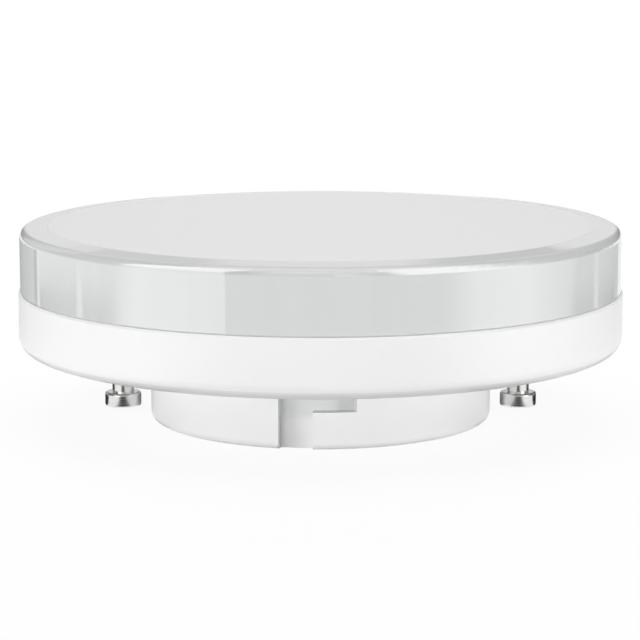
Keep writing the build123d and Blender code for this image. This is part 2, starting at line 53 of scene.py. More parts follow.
# Noise lies mostly between these two numbers.
NOISE_LOW = 0.3
NOISE_HIGH = 0.7
TINNED_COLOUR = "#C6C8C9"
TINNED_ROUGHNESS = 0.24

Node = bpy.types.Node
Socket = bpy.types.NodeSocket
Source = Union[Node, Socket]
Piece = bpy.types.Object
Place = tuple[float, float, float]
Spots = list[tuple[Vector, float]]


def linear_colour(code: str) -> tuple[float, float, float, float]:
    """Turns an sRGB colour into the linear one that shaders take.

    Args:
        code: Colour as a hex code, such as "#F2F2F0".

    Returns:
        Linear red, green, blue and an alpha of 1.
    """
    channels = [int(code[start:start + 2], 16) / 255 for start in (1, 3, 5)]
    straight = [c / 12.92 if c <= 0.04045 else ((c + 0.055) / 1.055) ** 2.4 for c in channels]
    return (*straight, 1.0)


def output_of(source: Source) -> Socket:
    """Takes a node's first output, or a socket as it is."""
    return source.outputs[0] if isinstance(source, Node) else source


def metres(point: Iterable[float]) -> Vector:
    """Turns a place in millimetres into Blender's metres."""
    return Vector(tuple(point)) * MM


def box_of(node: str) -> tuple[Vector, Vector]:
    """Finds the box round a solid of the frame.

    Args:
        node: Name of the solid.

    Returns:
        Its lowest and highest corner in millimetres.
    """
    corners = [Vector(corner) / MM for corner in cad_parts[node].bound_box]
    return (
        Vector(tuple(min(corner[axis] for corner in corners) for axis in range(3))),
        Vector(tuple(max(corner[axis] for corner in corners) for axis in range(3))),
    )


def start_editing() -> None:
    """Enters edit mode on the active piece, with everything selected."""
    bpy.ops.object.mode_set(mode="EDIT")
    bpy.ops.mesh.select_all(action="SELECT")


def stop_editing(sharp: float) -> None:
    """Turns all faces outwards, goes back to object mode and shades the piece smooth.

    Args:
        sharp: Angle in degrees from which an edge stays sharp.
    """
    bpy.ops.mesh.select_all(action="SELECT")
    bpy.ops.mesh.normals_make_consistent(inside=False)
    bpy.ops.object.mode_set(mode="OBJECT")
    bpy.ops.object.shade_smooth_by_angle(angle=math.radians(sharp))


def select_within(radius: float) -> None:
    """Selects the vertices of the mesh in edit mode that lie near the Z axis.

    Args:
        radius: How near, in millimetres.
    """
    bpy.ops.mesh.select_mode(type="VERT")
    mesh = bpy.context.edit_object.data
    shape = bmesh.from_edit_mesh(mesh)
    for vertex in shape.verts:
        vertex.select_set(math.hypot(vertex.co.x, vertex.co.y) < radius * MM)
    shape.select_flush_mode()
    bmesh.update_edit_mesh(mesh)


def name_new(name: str) -> Piece:
    """Names the piece that was just added.

    Args:
        name: Name of the piece and its mesh.

    Returns:
        The piece.
    """
    piece = bpy.context.object
    piece.name = name
    piece.data.name = name
    return piece


def pick(*pieces: Piece) -> None:
    """Selects some pieces and nothing else.

    Args:
        pieces: The pieces, of which the first becomes the active one.
    """
    bpy.ops.object.select_all(action="DESELECT")
    for piece in pieces:
        piece.select_set(True)
    bpy.context.view_layer.objects.active = pieces[0]


def settle(*pieces: Piece) -> None:
    """Puts the places of pieces into their meshes, so that their objects sit at the origin."""
    pick(*pieces)
    bpy.ops.object.transform_apply(location=True, rotation=True, scale=True)


def copy_to(master: Piece, places: Spots, name: str) -> Piece:
    """Copies a piece to several places and joins the copies.

    Args:
        master: Piece modelled round the origin, which is used up.
        places: Position in metres and turn about Z in radians of each copy.
        name: Name of the joined piece.

    Returns:
        The joined piece.
    """
    copies = []
    for position, turn in places:
        twin = master.copy()
        twin.data = master.data.copy()
        twin.location = position
        twin.rotation_euler = (0.0, 0.0, turn)
        bpy.context.scene.collection.objects.link(twin)
        copies.append(twin)
    bpy.data.objects.remove(master)
    settle(*copies)
    bpy.ops.object.join()
    return name_new(name)


@dataclass(frozen=True)
class Canvas:
    """Shader nodes of a material or of the studio's air."""

    tree: bpy.types.NodeTree

    def add(
        self, kind: str, inputs: Optional[dict[Union[str, int], Any]] = None, **settings: Any
    ) -> Node:
        """Adds a node, sets it up and links what feeds it.

        Args:
            kind: Blender's name of the node's type, without ShaderNode.
            inputs: For each input socket its value, or the node or the output socket that is linked to it.
            settings: Properties of the node.

        Returns:
            The new node.
        """
        made = self.tree.nodes.new(f"ShaderNode{kind}")
        for name, value in settings.items():
            setattr(made, name, value)
        for key, value in (inputs or {}).items():
            if isinstance(value, (Node, Socket)):
                self.tree.links.new(output_of(value), made.inputs[key])
            else:
                made.inputs[key].default_value = value
        return made


def bare_canvas(owner: Union[bpy.types.Material, bpy.types.World]) -> Canvas:
    """Empties the node tree of a material or a world.

    Args:
        owner: The material or the world.

    Returns:
        Its nodes, none so far.
    """
    owner.use_nodes = True
    owner.node_tree.nodes.clear()
    return Canvas(owner.node_tree)


@dataclass(frozen=True)
class Painting(Canvas):
    """Shader nodes of a surface that is being painted.

    Attributes:
        shader: The Principled shader.
        place: Object coordinates in millimetres.
    """

    shader: Node
    place: Node

    def feed(self, socket: str, source: Source) -> None:
        """Links a node or a socket to an input of the shader."""
        self.tree.links.new(output_of(source), self.shader.inputs[socket])

    def fed(self, socket: str) -> Socket:
        """Finds what an input of the shader is linked to so far."""
        return self.shader.inputs[socket].links[0].from_socket

    def radius(self) -> Socket:
        """Measures the distance from the lamp's axis in millimetres."""
        level = self.add("VectorMath", {0: self.place, 1: (1.0, 1.0, 0.0)}, operation="MULTIPLY")
        return self.add("VectorMath", {0: level}, operation="LENGTH").outputs["Value"]

    def between(self, value: Source, low: float, high: float, soft: float = 0.03) -> Node:
        """Marks where a number lies between two others.

        Args:
            value: The number.
            low: Lower end.
            high: Upper end.
            soft: Half of the width over which the mark fades at each end.

        Returns:
            The mark, 1 between the ends and 0 outside them.
        """
        off = self.add("Math", {0: value, 1: (low + high) / 2}, operation="SUBTRACT")
        away = self.add("Math", {0: off}, operation="ABSOLUTE")
        half = (high - low) / 2
        return self.add(
            "MapRange",
            {"Value": away, "From Min": half + soft, "From Max": half - soft},
            interpolation_type="SMOOTHSTEP",
        )

    def tint(self, pattern: Source, colour: str, under: Optional[str] = None) -> None:
        """Lets the colour change with a pattern.

        Args:
            pattern: Pattern from 0 to 1.
            colour: Hex code where the pattern is 1.
            under: Hex code where it is 0, or nothing for what is painted so far.
        """
        below = linear_colour(under) if under else self.fed("Base Color")
        # A Mix node takes its two colours at inputs 6 and 7 and gives the mixed one at output 2.
        mixed = self.add("Mix", {0: pattern, 6: below, 7: linear_colour(colour)}, data_type="RGBA")
        self.feed("Base Color", mixed.outputs[2])

    def vary(self, pattern: Source, low: float, high: float) -> None:
        """Lets the roughness follow a pattern.

        Args:
            pattern: Noise, which lies mostly between NOISE_LOW and NOISE_HIGH.
            low: Roughness at the pattern's low places.
            high: Roughness at its high places.
        """
        spread = self.add(
            "MapRange",
            {"Value": pattern, "From Min": NOISE_LOW, "From Max": NOISE_HIGH, "To Min": low, "To Max": high},
        )
        self.feed("Roughness", spread)

    def roughen(self, mark: Source, roughness: float) -> None:
        """Sets another roughness where a mark is 1, over the roughness so far."""
        self.feed("Roughness", self.add("Mix", {0: mark, 2: self.fed("Roughness"), 3: roughness}))

    def emboss(self, pattern: Source, depth: float) -> None:
        """Lets the surface rise with a pattern, by a depth in millimetres."""
        self.feed("Normal", self.add("Bump", {"Height": pattern, "Distance": depth * MM}))

    def grain(self, place: Node, width: float, depth: float) -> Node:
        """Gives the surface a fine relief.

        Args:
            place: Coordinates in millimetres.
            width: Width of one grain in millimetres.
            depth: Height of the relief in millimetres.

        Returns:
            The relief, from 0 to 1.
        """
        noise = self.add("TexNoise", {"Vector": place, "Scale": 1 / width})
        self.emboss(noise, depth)
        return noise

    def show_metal(self, bare: Node) -> None:
        """Shows bare tinned copper in some places, over what is painted so far.

        Args:
            bare: Mark that is 1 where the metal shows.
        """
        self.tint(bare, TINNED_COLOUR)
        self.roughen(bare, TINNED_ROUGHNESS)
        self.feed("Metallic", bare)


@dataclass(frozen=True)
class Finish:
    """How one kind of surface looks.

    Attributes:
        name: Common name of the material.
    """

    name: str

    def paint(self, canvas: Painting) -> None:
        """Sets the shader up.

        Args:
            canvas: The material's nodes.
        """
        raise NotImplementedError

    def material(self) -> bpy.types.Material:
        """Makes the material, or finds it if it was made before.

        Returns:
            The material.
        """
        made = bpy.data.materials.get(self.name)
        if made is None:
            made = bpy.data.materials.new(self.name)
            canvas = bare_canvas(made)
            shader = canvas.add("BsdfPrincipled")
            canvas.add("OutputMaterial", {"Surface": shader})
            coordinates = canvas.add("TexCoord").outputs["Object"]
            place = canvas.add("Mapping", {"Vector": coordinates, "Scale": (1 / MM,) * 3})
            self.paint(Painting(canvas.tree, shader, place))
        return made


@dataclass(frozen=True)
class MouldedPbt(Finish):
    """White PBT, moulded in a spark-eroded tool: an even satin white with soft highlights and a fine grain.

    Shade is painted into the colour: the keyways turn greyer towards their closed upper end and on one side
    wall, and a thin grey line of painted shade along the pan's lower rounding stands for a tighter edge than
    the solid has.
    """

    name: str = "moulded_pbt_white"
    colour: str = "#F0F0F0"
    cloud_colour: str = "#EDEDED"
    cloud_width: float = 14.0
    keyway_shade_colour: str = "#D9DADA"
    keyway_floor: float = 21.0
    keyway_radius: float = 22.6
    keyway_soft: float = 0.05
    keyway_low: float = 3.2
    keyway_high: float = 5.3
    side_wall_shade_colour: str = "#BABCBB"
    side_near: float = 4.95
    side_far: float = 5.4
    lip_shade_colour: str = "#E1E1E1"
    lip_radius: float = 30.0
    lip_low: float = 10.15
    lip_high: float = 10.75
    lip_soft: float = 0.1
    grain_width: float = 0.30
    grain_depth: float = 0.004
    smoothest: float = 0.36
    roughest: float = 0.46
    ior: float = 1.55

    def paint(self, canvas: Painting) -> None:
        """Paints faint clouds, paints shade into the keyways and along the lip, and lays a grain that varies
        the gloss.

        Args:
            canvas: The material's nodes.
        """
        canvas.shader.inputs["IOR"].default_value = self.ior
        clouds = canvas.add("TexNoise", {"Vector": canvas.place, "Scale": 1 / self.cloud_width})
        canvas.tint(clouds, self.cloud_colour, self.colour)
        radius = canvas.radius()
        parts = canvas.add("SeparateXYZ", {0: canvas.place}).outputs
        sunk = canvas.between(radius, self.keyway_floor, self.keyway_radius, self.keyway_soft)
        # Painted shade: the keyways turn greyer towards their closed upper end, under the pan.
        closed = canvas.add(
            "MapRange",
            {"Value": parts["Z"], "From Min": self.keyway_low, "From Max": self.keyway_high},
            interpolation_type="SMOOTHSTEP",
        )
        # Painted shade darkens one side wall of each keyway. The keyways lie half a turn apart, so the sign
        # of Y finds the same side wall of both.
        facing = canvas.add("Math", {0: parts["Y"]}, operation="SIGN")
        aside = canvas.add("Math", {0: parts["X"], 1: facing}, operation="MULTIPLY")
        side = canvas.between(aside, self.side_near, self.side_far, self.keyway_soft)
        # Painted shade: a thin grey line along the pan's lower rounding, for an edge tighter than the
        # solid's.
        outer = canvas.add("Math", {0: radius, 1: self.lip_radius}, operation="GREATER_THAN")
        line = canvas.between(parts["Z"], self.lip_low, self.lip_high, self.lip_soft)
        # Lays each painted shade where its area and its mark meet.
        for area, mark, grey in (
            (sunk, closed, self.keyway_shade_colour), (sunk, side, self.side_wall_shade_colour), (outer, line, self.lip_shade_colour)
        ):
            canvas.tint(canvas.add("Math", {0: area, 1: mark}, operation="MULTIPLY"), grey)
        relief = canvas.grain(canvas.place, self.grain_width, self.grain_depth)
        canvas.vary(relief, self.smoothest, self.roughest)


@dataclass(frozen=True)
class OpalPolycarbonate(Finish):
    """Opal polycarbonate: milky grey-white, frosted on its face and polished on its rim, edge and wall.

    The face scatters light evenly, and the polished wall has soft upright streaks, painted into its colour as
    reflections of what stands round it and into its gloss.
    """

    name: str = "opal_polycarbonate"
    face_colour: str = "#E8E8E8"
    wall_colour: str = "#D4D6D5"
    reflection_streak_colour: str = "#CED1D0"
    edge_reflection_colour: str = "#CACDCC"
    wall_top: float = 24.55
    edge_low: float = 24.85
    edge_high: float = 25.4
    face_low: float = 25.65
    face_radius: float = 36.0
    face_fade: float = 0.25
    face_roughness: float = 0.55
    wall_smoothest: float = 0.03
    wall_roughest: float = 0.06
    streak_width: float = 2.2
    streak_stretch: float = 0.03
    streak_detail: float = 3.0
    frost_width: float = 0.22
    frost_depth: float = 0.003
    # Polycarbonate has 1.585. Both faces of the clear skin mirror light, so it is raised for the pair.
    ior: float = 1.9

    def paint(self, canvas: Painting) -> None:
        """Frosts the face inside its radius, paints reflection streaks on the wall outside it and a dark
        reflection on the edge.

        Args:
            canvas: The material's nodes.
        """
        canvas.shader.inputs["IOR"].default_value = self.ior
        frosted = canvas.between(canvas.radius(), -self.face_radius, self.face_radius, self.face_fade)
        upright = (1.0, 1.0, self.streak_stretch)
        drawn = canvas.add("VectorMath", {0: canvas.place, 1: upright}, operation="MULTIPLY")
        streaks = canvas.add(
            "TexNoise", {"Vector": drawn, "Scale": 1 / self.streak_width, "Detail": self.streak_detail}
        )
        # Painted reflection: faint upright streaks in the wall's colour, from the same noise that varies its
        # gloss.
        canvas.tint(streaks, self.reflection_streak_colour, self.wall_colour)
        height = canvas.add("SeparateXYZ", {0: canvas.place}).outputs["Z"]
        # Painted reflection: the edge between wall and face turns greyer, for the dark band that the rounded
        # edge mirrors; the face above it takes its own colour.
        for low, high, above in (
            (self.wall_top, self.edge_low, self.edge_reflection_colour),
            (self.edge_high, self.face_low, self.face_colour),
        ):
            upper = canvas.add(
                "MapRange",
                {"Value": height, "From Min": low, "From Max": high},
                interpolation_type="SMOOTHSTEP",
            )
            canvas.tint(upper, above)
        canvas.vary(streaks, self.wall_smoothest, self.wall_roughest)
        canvas.roughen(frosted, self.face_roughness)
        frost = canvas.add("TexNoise", {"Vector": canvas.place, "Scale": 1 / self.frost_width})
        canvas.emboss(canvas.add("Math", {0: frost, 1: frosted}, operation="MULTIPLY"), self.frost_depth)


@dataclass(frozen=True)
class NickelPlate(Finish):
    """Nickel-plated brass, turned: a bright warm-grey metal with fine rings left by the lathe."""

    name: str = "nickel_plated_brass"
    colour: str = "#F0F0EF"
    ring_colour: str = "#E2E2E1"
    pitch: float = 53.0
    # The lathe's rings are about 0.03 mm apart, which is too fine to show, so they are drawn coarser.
    ring_width: float = 0.14
    ring_depth: float = 0.002
    smoothest: float = 0.14
    roughest: float = 0.26

    def paint(self, canvas: Painting) -> None:
        """Draws rings about each pin's own axis, on the sides and on the ends.

        Args:
            canvas: The material's nodes.
        """
        canvas.shader.inputs["Metallic"].default_value = 1.0
        parts = canvas.add("SeparateXYZ", {0: canvas.place}).outputs
        side = canvas.add("Math", {0: parts["X"]}, operation="ABSOLUTE")
        across = canvas.add("Math", {0: side, 1: self.pitch / 2}, operation="SUBTRACT")
        spoke = canvas.add("CombineXYZ", {"X": across, "Y": parts["Y"]})
        reach = canvas.add("VectorMath", {0: spoke}, operation="LENGTH").outputs["Value"]
        run = canvas.add("Math", {0: reach, 1: parts["Z"]}, operation="ADD")
        rings = canvas.add("TexNoise", {"W": run, "Scale": 1 / self.ring_width}, noise_dimensions="1D")
        canvas.tint(rings, self.ring_colour, self.colour)
        canvas.vary(rings, self.smoothest, self.roughest)
        canvas.emboss(rings, self.ring_depth)


@dataclass(frozen=True)
class Mottled(Finish):
    """A surface of one material whose colour and gloss vary a little with a fine grain.

    Attributes:
        fleck_colour: Colour of the grain's high places.
        stretch: How far the grain is drawn out along X, where 1 is not at all.
        smoothest: Roughness of the low places.
        roughest: Roughness of the high places.
        metal: 1 for a metal, 0 for anything else.
        ior: Index of refraction of what isn't a metal.
    """

    colour: str = "#808080"
    fleck_colour: str = "#808080"
    grain_width: float = 0.3
    grain_depth: float = 0.004
    stretch: float = 1.0
    smoothest: float = 0.3
    roughest: float = 0.5
    metal: float = 0.0
    ior: float = 1.5

    def paint(self, canvas: Painting) -> None:
        """Lets colour and gloss follow one grain.

        Args:
            canvas: The material's nodes.
        """
        canvas.shader.inputs["Metallic"].default_value = self.metal
        canvas.shader.inputs["IOR"].default_value = self.ior
        squeeze = (1 / self.stretch, 1.0, 1.0)
        drawn = canvas.add("VectorMath", {0: canvas.place, 1: squeeze}, operation="MULTIPLY")
        relief = canvas.grain(drawn, self.grain_width, self.grain_depth)
        canvas.tint(relief, self.fleck_colour, self.colour)
        canvas.vary(relief, self.smoothest, self.roughest)


# Mill-finished aluminium: a cool pale metal with fine lines along the way it was rolled.
ROLLED_ALUMINIUM = Mottled(
    "rolled_aluminium", "#C9CBCD", "#B3B6B9", 0.25, 0.002, 40.0, smoothest=0.26, roughest=0.40, metal=1.0
)
# Zinc plate on steel: a bluish, slightly cloudy metal.
ZINC_PLATE = Mottled(
    "zinc_plated_steel", "#BDC2C6", "#A9ADAE", 0.6, 0.002, smoothest=0.24, roughest=0.40, metal=1.0
)
# White polyphthalamide of the LED packages: a warm, chalky white.
LED_RESIN = Mottled("led_package_resin", "#F2F0E8", "#E9E6DB", 0.15, 0.002, smoothest=0.42, roughest=0.55)
# Silicone with phosphor: a soft, glossy egg-yellow with fine grains in it.
PHOSPHOR = Mottled(
    "phosphor_silicone", "#E8B93B", "#D9A52A", 0.06, 0.001, smoothest=0.20, roughest=0.32, ior=1.41
)
# Tin solder: bright, with the faint orange-peel of a joint that has just set.
SOLDER = Mottled("tin_solder", "#CBCDCE", "#B9BBBC", 0.25, 0.004, smoothest=0.14, roughest=0.30, metal=1.0)
# Enamelled copper wire: orange-brown and glossy under a clear varnish.
ENAMELLED_COPPER = Mottled(
    "enamelled_copper", "#B9652F", "#A25425", 0.5, 0.001, smoothest=0.16, roughest=0.26, metal=1.0
)


@dataclass(frozen=True)
class Leaded(Mottled):
    """A component's body, with bare tinned leads beyond its two ends.

    Attributes:
        axis: Axis of the lamp that runs from end to end.
        start: Where the body starts along it.
        end: Where it ends.
        bands: Bands round the body, each with its middle as a share of the length, and its colour.
        band_width: Width of a band as a share of the length.
    """

    axis: str = "Z"
    start: float = 0.0
    end: float = 8.6
    bands: tuple[tuple[float, str], ...] = ()
    band_width: float = 0.075

    def paint(self, canvas: Painting) -> None:
        """Paints the body, puts the bands round it and bares the leads.

        Args:
            canvas: The material's nodes.
        """
        super().paint(canvas)
        along = canvas.add("SeparateXYZ", {0: canvas.place}).outputs[self.axis]
        length = self.end - self.start
        half = self.band_width / 2
        for middle, colour in self.bands:
            low, high = (self.start + share * length for share in (middle - half, middle + half))
            canvas.tint(canvas.between(along, low, high), colour)
        body = canvas.between(along, self.start, self.end)
        canvas.show_metal(canvas.add("Math", {0: 1.0, 1: body}, operation="SUBTRACT"))


# Dipped epoxy: a deep brick red that is glossy and slightly wavy.
DIPPED_EPOXY = Leaded("dipped_epoxy", "#8F2D1C", "#7E2416", 2.5, 0.05, smoothest=0.12, roughest=0.22)
# Sintered ferrite: a dark grey ceramic, dull and finely speckled.
FERRITE = Leaded("sintered_ferrite", "#3B3C3E", "#2B2C2E", 0.12, 0.010, smoothest=0.50, roughest=0.68)


@dataclass(frozen=True)
class SolderMask(Finish):
    """A circuit board's lacquer: even and half glossy, of another tone where copper lies under it.

    Attributes:
        colour: Colour over bare board.
        copper_colour: Colour over copper.
        copper_height: Thickness of the copper in millimetres.
    """

    colour: str = "#1D6236"
    copper_colour: str = "#2E8048"
    copper_height: float = 0.035
    grain_width: float = 0.5
    smoothest: float = 0.30
    roughest: float = 0.42

    def copper(self, canvas: Painting) -> Node:
        """Lays out the copper.

        Args:
            canvas: The material's nodes.

        Returns:
            Mark that is 1 over copper.
        """
        raise NotImplementedError

    def paint(self, canvas: Painting) -> None:
        """Tints and lifts the lacquer over the copper.

        Args:
            canvas: The material's nodes.
        """
        copper = self.copper(canvas)
        canvas.tint(copper, self.copper_colour, self.colour)
        noise = canvas.add("TexNoise", {"Vector": canvas.place, "Scale": 1 / self.grain_width})
        canvas.vary(noise, self.smoothest, self.roughest)
        canvas.emboss(copper, self.copper_height)


@dataclass(frozen=True)
class DriverMask(SolderMask):
    """Green lacquer, over angular fields of copper with narrow gaps on the soldered side."""

    name: str = "green_solder_mask"
    field_width: float = 4.2
    gap: float = 0.35
    soldered_from: float = 10.1
    soldered_to: float = 10.3

    def copper(self, canvas: Painting) -> Node:
        """Lays the fields out as cells, with a gap where the two nearest cells are about as near.

        Args:
            canvas: The material's nodes.

        Returns:
            Mark that is 1 over copper.
        """
        near, next_near = (
            canvas.add(
                "TexVoronoi",
                {"Vector": canvas.place, "Scale": 1 / self.field_width},
                voronoi_dimensions="2D",
                feature=feature,
                distance="CHEBYCHEV",
            )
            for feature in ("F1", "F2")
        )
        apart = canvas.add("Math", {0: next_near, 1: near}, operation="SUBTRACT")
        filled = canvas.add("Math", {0: apart, 1: self.gap / self.field_width}, operation="GREATER_THAN")
        height = canvas.add("SeparateXYZ", {0: canvas.place}).outputs["Z"]
        soldered = canvas.between(height, self.soldered_from, self.soldered_to)
        return canvas.add("Math", {0: filled, 1: soldered}, operation="MULTIPLY")


@dataclass(frozen=True)
class LedMask(SolderMask):
    """White lacquer over two rings of copper that join the LEDs."""

    name: str = "white_solder_mask"
    colour: str = "#F0F0EC"
    copper_colour: str = "#E4E4DD"
    inner_ring: float = 12.5
    outer_ring: float = 24.0
    ring_width: float = 5.0
    fade: float = 0.12

    def copper(self, canvas: Painting) -> Node:
        """Lays a ring of copper under each ring of LEDs.

        Args:
            canvas: The material's nodes.

        Returns:
            Mark that is 1 over copper.
        """
        radius = canvas.radius()
        half = self.ring_width / 2
        inner, outer = (
            canvas.between(radius, ring - half, ring + half, self.fade)
            for ring in (self.inner_ring, self.outer_ring)
        )
        return canvas.add("Math", {0: inner, 1: outer}, operation="MAXIMUM")


@dataclass(frozen=True)
class ShrinkSleeve(Mottled):
    """Sleeve of an electrolytic capacitor: near black and glossy, with a pale stripe.

    The can's end and the leads are bare metal.

    Attributes:
        base: Where the can starts along X.
        tip: Where it ends along X.
        axis_y: Its axis across the board.
        axis_z: Height of its axis.
        radius: Its radius.
    """

    colour: str = "#22242B"
    fleck_colour: str = "#1B1D23"
    grain_width: float = 1.2
    grain_depth: float = 0.01
    smoothest: float = 0.16
    roughest: float = 0.28
    base: float = 0.0
    tip: float = 10.0
    axis_y: float = 0.0
    axis_z: float = 5.0
    radius: float = 3.0
    stripe_colour: str = "#C3C8CE"
    stripe_middle: float = math.radians(-120)
    stripe_half: float = math.radians(24)
    bare_share: float = 0.74
    skin: float = 0.1
    lead_reach: float = 5.0

    def paint(self, canvas: Painting) -> None:
        """Paints the sleeve and its stripe, then bares the end and the leads.

        Args:
            canvas: The material's nodes.
        """
        super().paint(canvas)
        parts = canvas.add("SeparateXYZ", {0: canvas.place}).outputs
        across = canvas.add("Math", {0: parts["Y"], 1: self.axis_y}, operation="SUBTRACT")
        above = canvas.add("Math", {0: parts["Z"], 1: self.axis_z}, operation="SUBTRACT")
        turn = canvas.add("Math", {0: above, 1: across}, operation="ARCTAN2")
        stripe = canvas.between(
            turn, self.stripe_middle - self.stripe_half, self.stripe_middle + self.stripe_half
        )
        canvas.tint(stripe, self.stripe_colour)
        spoke = canvas.add("CombineXYZ", {"X": across, "Y": above})
        reach = canvas.add("VectorMath", {0: spoke}, operation="LENGTH").outputs["Value"]
        inside = canvas.between(reach, -self.radius, self.radius * self.bare_share)
        at_tip = canvas.between(parts["X"], self.tip - self.skin, self.tip + self.skin)
        end = canvas.add("Math", {0: inside, 1: at_tip}, operation="MULTIPLY")
        leads = canvas.between(parts["X"], self.base - self.lead_reach, self.base - self.skin)
        canvas.show_metal(canvas.add("Math", {0: end, 1: leads}, operation="MAXIMUM"))


@dataclass(frozen=True)
class ResistorCoat(Leaded):
    """Coat of a fusible resistor: a dull blue-grey with five colour bands."""

    name: str = "resistor_coat"
    colour: str = "#7C9AAA"
    fleck_colour: str = "#728F9F"
    grain_width: float = 0.4
    smoothest: float = 0.30
    roughest: float = 0.42
    axis: str = "X"
    bands: tuple[tuple[float, str], ...] = (
        (0.12, "#5B2F17"), (0.30, "#191919"), (0.44, "#191919"), (0.58, "#B08A35"), (0.84, "#E9E9E4")
    )


@dataclass(frozen=True)
class MouldingCompound(Leaded):
    """Body of a chip: dull black epoxy, with tinned feet on two sides."""

    colour: str = "#1D1D1F"
    fleck_colour: str = "#262628"
    grain_width: float = 0.12
    smoothest: float = 0.46
    roughest: float = 0.62
    axis: str = "Y"


class Insulation(Enum):
    """Colours of the wires."""

    WHITE = "#E4E2DC"
    BLACK = "#1C1C1D"
    RED = "#A8231D"


@dataclass(frozen=True)
class WireSleeve(Mottled):
    """PVC round a wire: smooth, half glossy and of one colour, with the tinned strands bare at both ends.

    Attributes:
        landing: Height of the board that the wire comes up from.
        stripped: Length that is bare there.
        far_side: Distance from the middle of the lamp from which the far end counts.
        far_height: Height of the far end's foot.
        far_stripped: Length that is bare at the far end.
        reach: How far out the far end goes on.
    """

    grain_width: float = 1.5
    smoothest: float = 0.30
    roughest: float = 0.40
    ior: float = 1.53
    landing: float = 10.2
    stripped: float = 0.9
    far_side: float = 24.0
    far_height: float = 12.2
    far_stripped: float = 1.2
    reach: float = 4.0

    def paint(self, canvas: Painting) -> None:
        """Paints the sleeve and bares both ends.

        Args:
            canvas: The material's nodes.
        """
        super().paint(canvas)
        parts = canvas.add("SeparateXYZ", {0: canvas.place}).outputs
        near, low = (
            canvas.between(parts["Z"], height - length, height + length)
            for height, length in ((self.landing, self.stripped), (self.far_height, self.far_stripped))
        )
        side = canvas.add("Math", {0: parts["X"]}, operation="ABSOLUTE")
        outside = canvas.between(side, self.far_side, self.far_side + self.reach)
        far = canvas.add("Math", {0: outside, 1: low}, operation="MULTIPLY")
        canvas.show_metal(canvas.add("Math", {0: near, 1: far}, operation="MAXIMUM"))


class SubAssembly:
    """Pieces of the lamp that are built and dressed together."""

    def build(self) -> None:
        """Makes the pieces that the solids don't have."""

    def finishes(self) -> dict[str, Finish]:
        """Says how each solid looks.

        Returns:
            Node name to finish.
        """
        raise NotImplementedError

    def dress(self) -> None:
        """Gives each solid its finish."""
        for node, finish in self.finishes().items():
            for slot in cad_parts[node].material_slots:
                slot.material = finish.material()
            LOG.info("dressed %s in %s", node, finish.name)

    def carry(self, piece: Piece, slot: str, finish: Finish, *nodes: str) -> None:
        """Dresses a new piece and fixes it to the lamp.

        Args:
            piece: The new piece.
            slot: The record's material slot of the piece; not used.
            finish: How it looks.
            nodes: Solids that it stands for.
        """
        piece.data.materials.clear()
        piece.data.materials.append(finish.material())
        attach(piece, BODY)
        if nodes:
            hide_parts(*nodes)
        LOG.info("built %s with %d faces", piece.name, len(piece.data.polygons))


@dataclass
class Shell(SubAssembly):
    """Housing and cover, which close the lamp."""

    plastic: Finish = MouldedPbt()
    opal: Finish = OpalPolycarbonate()

    def finishes(self) -> dict[str, Finish]:
        """Says how the housing and the cover look."""
        return {"housing": self.plastic, "lens_cover": self.opal}


@dataclass
class CapPins(SubAssembly):
    """The two contact pins of the cap."""

    plate: Finish = NickelPlate()

    def finishes(self) -> dict[str, Finish]:
        """Says how both pins look."""
        return {"contact_pin_left": self.plate, "contact_pin_right": self.plate}


@dataclass(frozen=True)
class SolderJoint:
    """A solder joint round a lead that stands up from the origin, as a ring with a hollow slope.

    Attributes:
        hole: Radius of the lead with a little air.
        spread: Radius of the joint's foot.
        waist_share: Share of the way out from hole to foot at which the slope bends.
        steep_share: Share of the height that the steep upper slope takes.
        slack: How much wider than the hole its vertices are looked for.
    """

    hole: float
    spread: float
    height: float
    sides: int = 24
    waist_share: float = 1 / 3
    steep_share: float = 0.7
    sharp: float = 50.0
    slack: float = 1.01

    def build(self, name: str) -> Piece:
        """Models the joint.

        Args:
            name: Name of the piece.

        Returns:
            The joint.
        """
        waist = self.hole + (self.spread - self.hole) * self.waist_share
        bpy.ops.mesh.primitive_circle_add(
            vertices=self.sides, radius=self.hole * MM, location=(0.0, 0.0, self.height * MM)
        )
        piece = name_new(name)
        settle(piece)
        start_editing()
        for widening, share in (
            (waist / self.hole, self.steep_share),
            (self.spread / waist, 1 - self.steep_share),
            (self.hole / self.spread, 0.0),
        ):
            drop = (0.0, 0.0, -self.height * share * MM)
            bpy.ops.mesh.extrude_edges_move(TRANSFORM_OT_translate={"value": drop})
            bpy.ops.transform.resize(value=(widening, widening, 1.0))
        select_within(self.hole * self.slack)
        bpy.ops.mesh.select_mode(type="EDGE")
        bpy.ops.mesh.bridge_edge_loops()
        stop_editing(self.sharp)
        return piece


